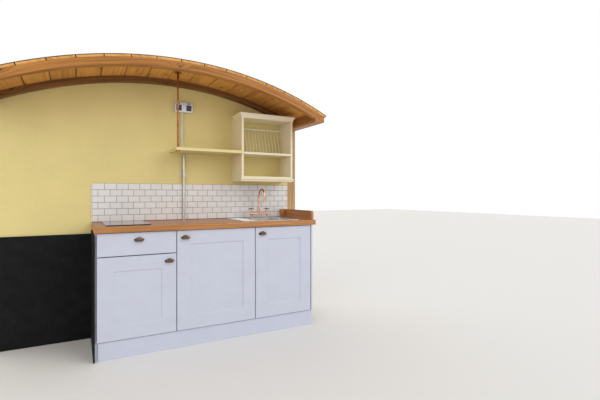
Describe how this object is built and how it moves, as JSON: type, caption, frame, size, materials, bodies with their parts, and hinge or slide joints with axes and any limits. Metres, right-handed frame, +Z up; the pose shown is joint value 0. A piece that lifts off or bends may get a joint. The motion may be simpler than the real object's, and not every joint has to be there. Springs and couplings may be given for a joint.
{
  "type": "railway carriage end wall with fitted kitchen",
  "caption": "Arched end wall of a railway carriage cabin with the last bay of its roof and a fitted kitchen with doors, drawer, sink, hob, tap, shelf and plate rack.",
  "frame": {"origin": "floor level under the middle of the end wall's timber frame, on the carriage's centre line", "axes": "+X runs right along the wall seen from inside the cabin, +Y out through the wall away from the kitchen, +Z up"},
  "size_m": [2.488, 0.695, 2.0638],
  "materials": {
    "frame_timber": "sawn softwood",
    "yellow_lining": "pale yellow brushed paint",
    "outer_boards": "varnished softwood boards",
    "roof_pine": "oiled pine boards",
    "hoop_timber": "oiled ash",
    "black_board": "matt black fire board",
    "white_paint": "satin white painted",
    "unit_board": "white faced board",
    "black_plastic": "moulded",
    "oak": "oiled oak staves",
    "white_tile": "glazed white with grey grout",
    "antique_bronze": "antique bronze",
    "black_glass": "polished black ceramic glass",
    "steel": "brushed",
    "copper": "polished copper tube",
    "red_wheel": "dark red enamel",
    "cream_paint": "cream brushed paint",
    "white_plastic": "moulded"
  },
  "bodies": {
    "root": {"wall_sill": "frame_timber", "corner_posts": "frame_timber", "wall_studs": "frame_timber", "arched_rail": "frame_timber", "lining": "yellow_lining", "outer_boarding": "outer_boards", "roof_boards": "roof_pine", "end_hoop": "hoop_timber", "roof_hoop": "hoop_timber", "cant_rails": "hoop_timber", "heat_boards": "black_board", "end_panel": "white_paint", "unit_sides": "unit_board", "unit_bottoms": "unit_board", "unit_backs": "unit_board", "unit_rails": "unit_board", "unit_shelves": "unit_board", "unit_feet": "black_plastic", "plinth": "white_paint", "filler": "white_paint", "worktop": "oak", "splashback": "white_tile", "upstand": "oak", "drawer_runners": "steel", "hinge_arms": "steel", "hob_glass": "black_glass", "hob_tray": "steel", "sink": "steel", "sink_waste": "white_plastic", "tap_bridge": "copper", "shelf": "cream_paint", "hanger_rod": "copper", "rack_sides": "cream_paint", "rack_shelves": "cream_paint", "rack_cornice": "cream_paint", "rack_pelmet": "cream_paint", "rack_dowels": "cream_paint", "socket_box": "white_plastic", "socket_plate": "steel", "trunking": "white_plastic", "conduit": "steel", "conduit_clip": "steel"},
    "left_door": {"left_door": "white_paint", "left_door_pull": "antique_bronze"},
    "middle_door": {"middle_door": "white_paint", "middle_door_pull": "antique_bronze"},
    "right_door": {"right_door": "white_paint", "right_door_pull": "antique_bronze"},
    "drawer": {"drawer_front": "white_paint", "drawer_box": "unit_board", "drawer_pull": "antique_bronze"},
    "spout": {"tap_spout": "copper"},
    "left_wheel": {"tap_wheel_left": "red_wheel"},
    "right_wheel": {"tap_wheel_right": "red_wheel"}
  },
  "joints": [
    {"name": "left_door_hinge", "type": "hinge", "parent": "root", "child": "left_door", "pos_m": [-0.53, -0.59, 0.401], "axis": [0, 0, -1], "range_deg": [0, 90]},
    {"name": "middle_door_hinge", "type": "hinge", "parent": "root", "child": "middle_door", "pos_m": [0.573, -0.59, 0.48], "axis": [0, 0, 1], "range_deg": [0, 90]},
    {"name": "right_door_hinge", "type": "hinge", "parent": "root", "child": "right_door", "pos_m": [1.073, -0.59, 0.48], "axis": [0, 0, 1], "range_deg": [0, 90]},
    {"name": "drawer_slide", "type": "slide", "parent": "root", "child": "drawer", "axis": [0, -1, 0], "range_m": [0, 0.36]},
    {"name": "spout_swivel", "type": "hinge", "parent": "root", "child": "spout", "pos_m": [0.795, -0.145, 1], "axis": [0, 0, 1], "range_deg": [-60, 60]},
    {"name": "left_wheel_turn", "type": "hinge", "parent": "root", "child": "left_wheel", "pos_m": [0.72, -0.145, 0.967], "axis": [0, 0, 1], "range_deg": [0, 270]},
    {"name": "right_wheel_turn", "type": "hinge", "parent": "root", "child": "right_wheel", "pos_m": [0.87, -0.145, 0.967], "axis": [0, 0, 1], "range_deg": [0, 270]}
  ]
}
